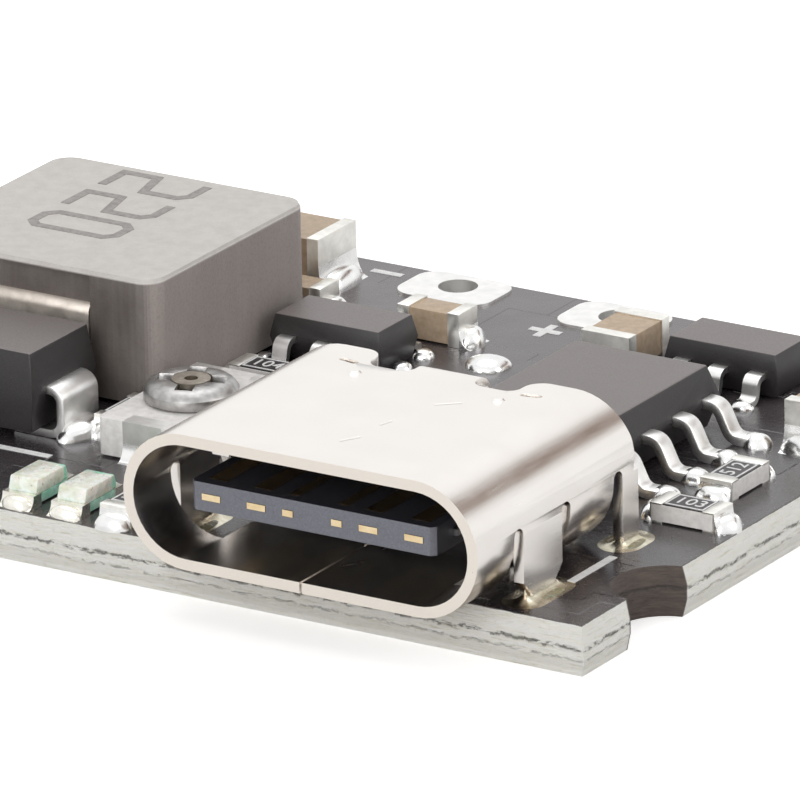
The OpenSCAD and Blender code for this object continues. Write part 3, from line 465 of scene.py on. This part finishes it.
def shading_group():
    """Node group that shades smooth across shallow edges and keeps steep ones sharp."""
    group = bpy.data.node_groups.new("smooth_by_angle", "GeometryNodeTree")
    group.interface.new_socket("Geometry", in_out="INPUT", socket_type="NodeSocketGeometry")
    group.interface.new_socket("Geometry", in_out="OUTPUT", socket_type="NodeSocketGeometry")
    put = group.nodes.new
    start, end = put("NodeGroupInput"), put("NodeGroupOutput")
    angle = put("GeometryNodeInputMeshEdgeAngle")
    limit = put("FunctionNodeCompare")
    limit.operation = "GREATER_THAN"
    limit.inputs[1].default_value = math.radians(SHARP_ANGLE)
    faces, edges = put("GeometryNodeSetShadeSmooth"), put("GeometryNodeSetShadeSmooth")
    faces.domain, edges.domain = "FACE", "EDGE"
    edges.inputs["Shade Smooth"].default_value = False
    join = group.links.new
    join(start.outputs[0], faces.inputs["Geometry"])
    join(faces.outputs[0], edges.inputs["Geometry"])
    join(angle.outputs["Unsigned Angle"], limit.inputs[0])
    join(limit.outputs[0], edges.inputs["Selection"])
    join(edges.outputs[0], end.inputs[0])
    return group


SMOOTH = shading_group()


def finish_surface(piece, rounding=0.0, weld=True, sheet=False):
    """Joins split corners, merges a sheet's flat faces, rounds sharp edges and smooths the shading."""
    if weld:
        joined = piece.modifiers.new("weld", "WELD")
        joined.merge_threshold = WELD_GAP * MM
    if sheet:
        flats = piece.modifiers.new("flats", "DECIMATE")
        flats.decimate_type = "DISSOLVE"
        flats.angle_limit = math.radians(FLAT_ANGLE)
    if rounding:
        bevel = piece.modifiers.new("bevel", "BEVEL")
        bevel.width = rounding * MM
        bevel.segments = 2
        bevel.limit_method = "ANGLE"
        bevel.angle_limit = math.radians(ROUNDED_ANGLE)
    smooth = piece.modifiers.new("smooth", "NODES")
    smooth.node_group = SMOOTH
    even = piece.modifiers.new("even", "WEIGHTED_NORMAL")
    even.keep_sharp = True


def add_piece(name, mesh, material, body="module"):
    """A piece of the scene's own, with its look and the body that it rides on."""
    piece = bpy.data.objects.new(name, mesh)
    bpy.context.collection.objects.link(piece)
    mesh.materials.append(MATERIALS[material])
    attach(piece, body)
    return piece


def placed(x, y, z, turn=0.0):
    """Place in millimetres, turned about the upright axis by degrees."""
    return Matrix.Translation(Vector((x, y, z)) * MM) @ Matrix.Rotation(math.radians(turn), 4, "Z")


def strip_mesh(name, paths, width, thick, place):
    """Flat printed strips with mitred corners along open or closed paths, as thin closed solids."""
    form = bmesh.new()
    for path in paths:
        points = [Vector((x, y, 0)) for x, y in path]
        closed = (points[0] - points[-1]).length < 1e-6
        if closed:
            points.pop()
        count = len(points)
        rings = []
        for i, point in enumerate(points):
            before = points[i - 1] if i or closed else None
            after = points[(i + 1) % count] if i < count - 1 or closed else None
            into = (point - before).normalized() if before is not None else (after - point).normalized()
            away = (after - point).normalized() if after is not None else into
            side = Vector((-into.y - away.y, into.x + away.x, 0)).normalized()
            # A corner's strip is widened to its mitre, but no more than 2.5 times
            side *= width / 2 / max(0.4, side.dot(Vector((-into.y, into.x, 0))))
            up = Vector((0, 0, thick))
            rings.append([form.verts.new(place @ (corner * MM)) for corner in
                          (point - side, point + side, point + side + up, point - side + up)])
        for i in range(count if closed else count - 1):
            one, two = rings[i], rings[(i + 1) % count]
            for k in range(4):
                form.faces.new((one[k], one[(k + 1) % 4], two[(k + 1) % 4], two[k]))
        if not closed:
            form.faces.new(rings[0][::-1])
            form.faces.new(rings[-1])
    bmesh.ops.recalc_face_normals(form, faces=form.faces)
    mesh = bpy.data.meshes.new(name)
    form.to_mesh(mesh)
    form.free()
    return mesh


def digits_mesh(name, text, height, thick, place):
    """Plain printed digits, centred, from Blender's own font."""
    curve = bpy.data.curves.new(name, "FONT")
    curve.body = text
    curve.size = height * MM / DIGIT_SHARE
    curve.align_x, curve.align_y = "CENTER", "CENTER"
    curve.extrude = thick * MM / 2
    curve.resolution_u = 4
    helper = bpy.data.objects.new(name + "_helper", curve)
    bpy.context.collection.objects.link(helper)
    bpy.context.view_layer.update()
    mesh = bpy.data.meshes.new_from_object(helper.evaluated_get(bpy.context.evaluated_depsgraph_get()))
    bpy.data.objects.remove(helper)
    mesh.transform(place @ Matrix.Translation((0, 0, thick * MM / 2)))
    mesh.name = name
    return mesh


def mounds_mesh(name, mounds):
    """Rounded solder mounds on the board: across, to the back, half sizes, height and turn of each."""
    form = bmesh.new()
    around = MOUND_POINTS
    for n, (x, y, half_x, half_y, height, turn) in enumerate(mounds):
        place = placed(x, y, BOARD_T - MOUND_SUNK, turn)
        tall = height + MOUND_SUNK
        rows = []
        for k in range(MOUND_ROWS):
            rise = math.pi / 2 * k / MOUND_ROWS
            row = []
            for i in range(around):
                a = 2 * math.pi * i / around
                wobble = 1 + 0.05 * math.sin(3 * a + 1.7 * n) + 0.03 * math.sin(5 * a + 2.3 * n)
                out = wobble * math.cos(rise) ** 0.8
                row.append(form.verts.new(place @ (Vector((
                    half_x * out * math.cos(a), half_y * out * math.sin(a), tall * math.sin(rise) ** 1.1)) * MM)))
            rows.append(row)
        form.faces.new(rows[0][::-1])
        for low, high in zip(rows, rows[1:]):
            for i in range(around):
                form.faces.new((low[i], low[(i + 1) % around], high[(i + 1) % around], high[i]))
        tip = form.verts.new(place @ (Vector((0, 0, tall)) * MM))
        for i in range(around):
            form.faces.new((rows[-1][i], rows[-1][(i + 1) % around], tip))
    mesh = bpy.data.meshes.new(name)
    form.to_mesh(mesh)
    form.free()
    return mesh


# Looks of the CAD nodes

for name, node in nodes.items():
    look = MATERIALS[OWN_LOOK.get(name, SLOTS[name])]
    node.data.materials.clear()
    node.data.materials.append(look)
    if "custom_normal" in node.data.attributes:
        node.data.attributes.remove(node.data.attributes["custom_normal"])
    finish_surface(node, ROUNDING.get(name, 0.0), sheet=name == "usb_shell")


# Printed marks

def board_marks(top):
    """White lines and pole signs on the board."""
    lines = [[(10.15, -6.69), (10.15, -4.94)], [(-5.9, -5.58), (-3.75, -5.58)], [(-9.4, -5.58), (-7.6, -5.58)]]
    for x in (2.9, 4.9):
        lines.append([(x, 5.0), (x, 6.8)])
    add_piece("board_marks", strip_mesh("board_marks", lines, MARK_W, INK_T, top), "white_ink")
    arm = 0.4
    signs = []
    for x, y, plus in ((-8.2, 7.9, True), (-3.75, 8.2, False), (1.4, 6.6, True), (8.1, 8.1, False)):
        signs.append([(x - arm, y), (x + arm, y)])
        if plus:
            signs += [[(x, y + MARK_W / 2), (x, y + arm)], [(x, y - arm), (x, y - MARK_W / 2)]]
    add_piece("pole_marks", strip_mesh("pole_marks", signs, MARK_W, INK_T, top), "white_ink")


def inductor_value():
    """Block digits with cut corners on the inductor's top."""
    wide, tall, cut, pitch = 0.95, 2.2, 0.22, 1.5
    nought = [(cut, 0), (wide - cut, 0), (wide, cut), (wide, tall - cut), (wide - cut, tall), (cut, tall),
              (0, tall - cut), (0, cut), (cut, 0)]
    two = [(0, tall), (wide - cut, tall), (wide, tall - cut), (wide, tall / 2), (0, tall / 2 - cut), (0, 0),
           (wide, 0)]
    value = [[(x + i * pitch, y) for x, y in digit] for i, digit in enumerate((two, two, nought))]
    place = placed(COIL[0] - 1.35, COIL[1] + 2.8, BOARD_T + COIL[2], -90)
    mesh = strip_mesh("inductor_value", value, 0.22, INK_T, place)
    add_piece("inductor_value", mesh, "dark_ink")


def resistor_values():
    """A thin frame and a plain value on the coat of each resistor."""
    half_x, half_y = 0.46, 0.3
    box = [(-half_x, -half_y), (half_x, -half_y), (half_x, half_y), (-half_x, half_y), (-half_x, -half_y)]
    for i, (x, y, turn, value) in enumerate(RESISTORS, 1):
        place = placed(x, y, BOARD_T + RESISTOR_H - INK_T, turn)
        name = "resistor_frame_%d" % i
        add_piece(name, strip_mesh(name, [box], 0.04, INK_T, place), "white_ink")
        name = "resistor_value_%d" % i
        add_piece(name, digits_mesh(name, value, 0.36, INK_T, place), "white_ink")


board_marks(placed(0, 0, BOARD_T))
inductor_value()
resistor_values()


# Solder and flux that flowed out beyond the plain fillets

def both_ends(x, y, turn, reach):
    """The two places that lie a reach from a middle, along its turn."""
    along = Vector((math.cos(math.radians(turn)), math.sin(math.radians(turn)))) * reach
    return (x - along.x, y - along.y), (x + along.x, y + along.y)


def add_mounds(name, items, material="solder"):
    finish_surface(add_piece(name, mounds_mesh(name, items), material), weld=False)


def solder_mounds():
    """Each mound: across, to the back, half sizes, height and turn."""
    add_mounds("diode_solder_mounds", [
        (DIODE[0] + side * 2.62, DIODE[1] - 0.05, 0.44, 0.82, 0.36, 0) for side in (-1, 1)])
    add_mounds("charger_chip_solder_mounds", [
        (CHIP[0] + side * 3.1, CHIP[1] + (i - 1.5) * CHIP_PITCH, 0.36, 0.32, 0.3, 0)
        for side in (-1, 1) for i in range(4)])
    lead_rows = [(side, (i - 1) * SMALL_CHIP_PITCH) for side in (-1, 1) for i in range(3)]
    (boost_x, boost_y), (guard_x, guard_y) = SMALL_CHIPS
    add_mounds("small_chip_solder_mounds",
               [(boost_x + side * 1.48, boost_y + along, 0.24, 0.27, 0.18, 0) for side, along in lead_rows] +
               [(guard_x + along, guard_y + side * 1.48, 0.27, 0.24, 0.18, 0) for side, along in lead_rows])
    add_mounds("resistor_solder_mounds", [
        (*end, 0.3, 0.44, 0.34, turn) for x, y, turn, value in RESISTORS for end in both_ends(x, y, turn, 0.9)])
    add_mounds("capacitor_solder_mounds", [
        (*end, 0.32, width * 0.52, 0.42, turn) for x, y, turn, length, width in CAPACITORS
        for end in both_ends(x, y, turn, length / 2 + 0.08)])
    add_mounds("lamp_solder_mounds",
               [(x, -8.58, 0.40, 0.2, 0.26, 0) for x in LAMPS_X] + [(x, -6.8, 0.38, 0.2, 0.24, 0) for x in LAMPS_X],
               "lamp_solder")
    add_mounds("test_pad_solder", [(1.5, 4.0, 0.52, 0.47, 0.24, 20)])
    add_mounds("flux_rings", [(x, y, 0.44, half + 0.26, 0.06, 0) for x, y, half in LEG_FEET], "flux")


solder_mounds()


# Floor, light and camera

def floor_and_backdrop():
    form = bmesh.new()
    form.faces.new([form.verts.new((x * FLOOR_HALF, y * FLOOR_HALF, 0)) for x, y in
                    ((-1, -1), (1, -1), (1, 1), (-1, 1))])
    mesh = bpy.data.meshes.new("floor")
    form.to_mesh(mesh)
    form.free()
    floor = bpy.data.objects.new("floor", mesh)
    bpy.context.collection.objects.link(floor)
    s = Shade("floor_paper", Roughness=0.9)
    s.colour(s.ramp(s.noise(0.05, 2), (0.3, (0.93, 0.93, 0.93)), (0.7, (0.95, 0.95, 0.95))))
    # Seen by the camera, the paper glows up to white, and keeps the soft shadow
    path, glow, both = s.add("ShaderNodeLightPath"), s.add("ShaderNodeEmission"), s.add("ShaderNodeAddShader")
    s.link(s.math("MULTIPLY", path.outputs["Is Camera Ray"], FLOOR_GLOW), glow.inputs["Strength"])
    s.link(s.shader.outputs[0], both.inputs[0])
    s.link(glow.outputs[0], both.inputs[1])
    s.link(both.outputs[0], s.tree.nodes["Material Output"].inputs["Surface"])
    mesh.materials.append(s.material)


def world_light():
    """Soft fill for the surfaces, and white for the camera and for mirrored and bent rays."""
    world = bpy.data.worlds.new("studio")
    bpy.context.scene.world = world
    world.use_nodes = True
    tree = world.node_tree
    tree.nodes.clear()
    put, join = tree.nodes.new, tree.links.new
    out, both = put("ShaderNodeOutputWorld"), put("ShaderNodeMixShader")
    fill, seen = put("ShaderNodeBackground"), put("ShaderNodeBackground")
    fill.inputs["Color"].default_value = (1.0, 0.99, 0.98, 1)
    fill.inputs["Strength"].default_value = WORLD_FILL
    seen.inputs["Strength"].default_value = 1.0
    path = put("ShaderNodeLightPath")
    one, two = put("ShaderNodeMath"), put("ShaderNodeMath")
    one.operation = two.operation = "MAXIMUM"
    join(path.outputs["Is Camera Ray"], one.inputs[0])
    join(path.outputs["Is Glossy Ray"], one.inputs[1])
    join(one.outputs[0], two.inputs[0])
    join(path.outputs["Is Transmission Ray"], two.inputs[1])
    join(two.outputs[0], both.inputs[0])
    join(fill.outputs[0], both.inputs[1])
    join(seen.outputs[0], both.inputs[2])
    join(both.outputs[0], out.inputs["Surface"])
    # A dim warm strip of the room above the backdrop, which the socket's bend mirrors
    coords, split = put("ShaderNodeTexCoord"), put("ShaderNodeSeparateXYZ")
    join(coords.outputs["Generated"], split.inputs[0])

    def step(source, low, high):
        made = put("ShaderNodeMapRange")
        made.interpolation_type = "SMOOTHSTEP"
        join(source, made.inputs["Value"])
        made.inputs["From Min"].default_value = low
        made.inputs["From Max"].default_value = high
        return made.outputs["Result"]

    def times(a, b):
        made = put("ShaderNodeMath")
        made.operation = "MULTIPLY"
        join(a, made.inputs[0])
        join(b, made.inputs[1])
        return made.outputs[0]

    height = times(step(split.outputs["Z"], 0.36, 0.47), step(split.outputs["Z"], 0.66, 0.52))
    strip = times(height, times(step(split.outputs["X"], 0.0, 0.2), step(split.outputs["Y"], 0.3, 0.5)))
    tint = put("ShaderNodeMix")
    tint.data_type = "RGBA"
    join(strip, tint.inputs[0])
    tint.inputs[6].default_value = (1, 1, 1, 1)
    tint.inputs[7].default_value = STRIP_TINT
    join(tint.outputs[2], seen.inputs["Color"])


def soft_lamp(name, place, size, power, colour):
    """A round soft lamp that points at the module."""
    light = bpy.data.lights.new(name, "AREA")
    light.shape = "DISK"
    light.size = size
    light.energy = power
    light.color = colour
    lamp = bpy.data.objects.new(name, light)
    bpy.context.collection.objects.link(lamp)
    lamp.location = place
    lamp.rotation_euler = (-Vector(place)).to_track_quat("-Z", "Y").to_euler()


def camera():
    """The photo's camera, as matched with the CAD model."""
    azimuth, elevation, roll = (math.radians(angle) for angle in CAMERA_TURN)
    back = Vector((math.sin(azimuth) * math.cos(elevation), -math.cos(azimuth) * math.cos(elevation),
                   math.sin(elevation)))
    right = Vector((math.cos(azimuth), math.sin(azimuth), 0))
    up = back.cross(right)
    right, up = right * math.cos(roll) + up * math.sin(roll), up * math.cos(roll) - right * math.sin(roll)
    data = bpy.data.cameras.new("camera")
    data.sensor_width = 36
    data.lens = CAMERA_LENS
    data.clip_start = 0.01
    data.clip_end = 10
    eye = bpy.data.objects.new("camera", data)
    bpy.context.collection.objects.link(eye)
    place = Matrix.Translation(Vector(CAMERA_AIM) * MM + back * CAMERA_DISTANCE)
    eye.matrix_world = place @ Matrix((right, up, back)).transposed().to_4x4()
    bpy.context.scene.camera = eye


floor_and_backdrop()
world_light()
for name, settings in STUDIO_LAMPS.items():
    soft_lamp(name, *settings)
camera()

bpy.context.scene.view_settings.view_transform = "Standard"
